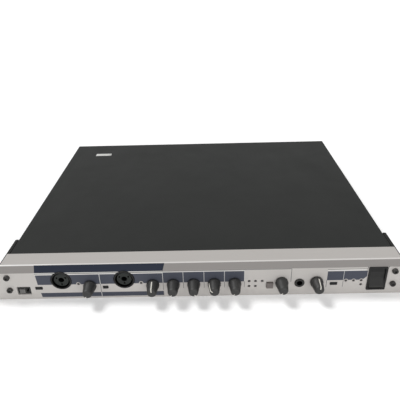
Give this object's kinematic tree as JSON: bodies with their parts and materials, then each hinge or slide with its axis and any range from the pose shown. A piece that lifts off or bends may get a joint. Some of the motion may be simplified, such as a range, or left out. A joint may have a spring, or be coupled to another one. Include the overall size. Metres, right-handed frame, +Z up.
{
  "type": "rack audio interface",
  "caption": "Slim rack-mount audio unit with bevelled silver front, rotary knobs, combination jacks, push and slide switches, lamps and a rocker power switch.",
  "frame": {"origin": "centre of the rack slot pattern on the rear face of the ears, at mid height", "axes": "+X to the right seen from the front, +Y towards the rear, +Z up"},
  "size_m": [0.48, 0.3828, 0.044],
  "materials": {
    "fascia_silver": "satin anodised, printed",
    "case_black": "fine texture powder coat",
    "bracket_black": "satin paint",
    "screw_black": "black oxide",
    "knob_black": "soft satin",
    "shaft_metal": "turned",
    "jack_black": "moulded",
    "ring_black": "moulded",
    "contact_metal": "plated",
    "socket_metal": "plated",
    "switch_black": "moulded",
    "rocker_black": "fine grain",
    "lever_grey": "moulded",
    "button_grey": "moulded",
    "lamp_dark": "clear tinted",
    "board_green": "solder mask",
    "chip_black": "moulded",
    "core_metal": "varnished laminations",
    "can_metal": "satin",
    "spacer_metal": "plated",
    "ribbon_grey": "ribbed"
  },
  "bodies": {
    "case": {"base_pan": "case_black", "board_ribbon": "ribbon_grey", "board_screws": "spacer_metal", "board_standoffs": "spacer_metal", "button_switches": "switch_black", "case_screws": "screw_black", "combo_contacts": "contact_metal", "combo_jack_1": "jack_black", "combo_jack_2": "jack_black", "data_sockets": "socket_metal", "din_sockets": "jack_black", "front_board": "board_green", "front_panel": "fascia_silver", "heat_sink": "can_metal", "indicator_lamps": "lamp_dark", "inlet_pins": "contact_metal", "line_jacks": "jack_black", "line_nuts": "socket_metal", "main_board": "board_green", "main_chips": "chip_black", "mains_inlet": "jack_black", "optical_sockets": "jack_black", "panel_screws": "screw_black", "phones_jack": "jack_black", "phones_ring": "ring_black", "phono_sockets": "jack_black", "potentiometers": "switch_black", "power_frame": "switch_black", "rear_panel": "case_black", "side_bracket_left": "bracket_black", "side_bracket_right": "bracket_black", "slide_housing": "switch_black", "supply_board": "board_green", "supply_capacitors": "can_metal", "supply_transformer": "core_metal", "top_cover": "case_black"},
    "knob_body_1": {"knob_1": "knob_black", "knob_shaft_1": "shaft_metal"},
    "knob_body_2": {"knob_2": "knob_black", "knob_shaft_2": "shaft_metal"},
    "knob_body_3": {"knob_3": "knob_black", "knob_shaft_3": "shaft_metal"},
    "knob_body_4": {"knob_4": "knob_black", "knob_shaft_4": "shaft_metal"},
    "knob_body_5": {"knob_5": "knob_black", "knob_shaft_5": "shaft_metal"},
    "knob_body_6": {"knob_6": "knob_black", "knob_shaft_6": "shaft_metal"},
    "knob_body_7": {"knob_7": "knob_black", "knob_shaft_7": "shaft_metal"},
    "knob_body_8": {"knob_8": "knob_black", "knob_shaft_8": "shaft_metal"},
    "pad_button_1_body": {"pad_button_1": "switch_black"},
    "pad_button_2_body": {"pad_button_2": "switch_black"},
    "select_button_body": {"select_button": "switch_black"},
    "square_button_body": {"square_button": "button_grey"},
    "slide_lever_body": {"slide_lever": "lever_grey"},
    "rocker_body": {"power_rocker": "rocker_black"}
  },
  "joints": [
    {"name": "knob_turn_1", "type": "hinge", "parent": "case", "child": "knob_body_1", "pos_m": [-0.1223, 0, -0.0035], "axis": [0, 1, 0], "range_deg": [0, 300]},
    {"name": "knob_turn_2", "type": "hinge", "parent": "case", "child": "knob_body_2", "pos_m": [-0.0523, 0, -0.0035], "axis": [0, 1, 0], "range_deg": [-146, 154]},
    {"name": "knob_turn_3", "type": "hinge", "parent": "case", "child": "knob_body_3", "pos_m": [-0.0296, 0, -0.0035], "axis": [0, 1, 0], "range_deg": [0, 300]},
    {"name": "knob_turn_4", "type": "hinge", "parent": "case", "child": "knob_body_4", "pos_m": [-0.0069, 0, -0.0035], "axis": [0, 1, 0], "range_deg": [-300, 0]},
    {"name": "knob_turn_5", "type": "hinge", "parent": "case", "child": "knob_body_5", "pos_m": [0.0158, 0, -0.0035], "axis": [0, 1, 0], "range_deg": [-88, 212]},
    {"name": "knob_turn_6", "type": "hinge", "parent": "case", "child": "knob_body_6", "pos_m": [0.0385, 0, -0.0035], "axis": [0, 1, 0], "range_deg": [0, 300]},
    {"name": "knob_turn_7", "type": "hinge", "parent": "case", "child": "knob_body_7", "pos_m": [0.0902, 0, -0.0035], "axis": [0, 1, 0], "range_deg": [0, 300]},
    {"name": "knob_turn_8", "type": "hinge", "parent": "case", "child": "knob_body_8", "pos_m": [0.1287, 0, -0.0035], "axis": [0, 1, 0], "range_deg": [-162, 138]},
    {"name": "pad_button_1_press", "type": "slide", "parent": "case", "child": "pad_button_1_body", "axis": [0, 1, 0], "range_m": [0, 0.0015], "stiffness_N_per_m": 400},
    {"name": "pad_button_2_press", "type": "slide", "parent": "case", "child": "pad_button_2_body", "axis": [0, 1, 0], "range_m": [0, 0.0015], "stiffness_N_per_m": 400},
    {"name": "select_button_press", "type": "slide", "parent": "case", "child": "select_button_body", "axis": [0, 1, 0], "range_m": [0, 0.0015], "stiffness_N_per_m": 400},
    {"name": "square_button_press", "type": "slide", "parent": "case", "child": "square_button_body", "axis": [0, 1, 0], "range_m": [0, 0.0015], "stiffness_N_per_m": 400},
    {"name": "lever_slide", "type": "slide", "parent": "case", "child": "slide_lever_body", "axis": [1, 0, 0], "range_m": [0, 0.003]},
    {"name": "rocker_tilt", "type": "hinge", "parent": "case", "child": "rocker_body", "pos_m": [0.1948, 0.0005, -0.0007], "axis": [1, 0, 0], "range_deg": [0, 12]}
  ]
}
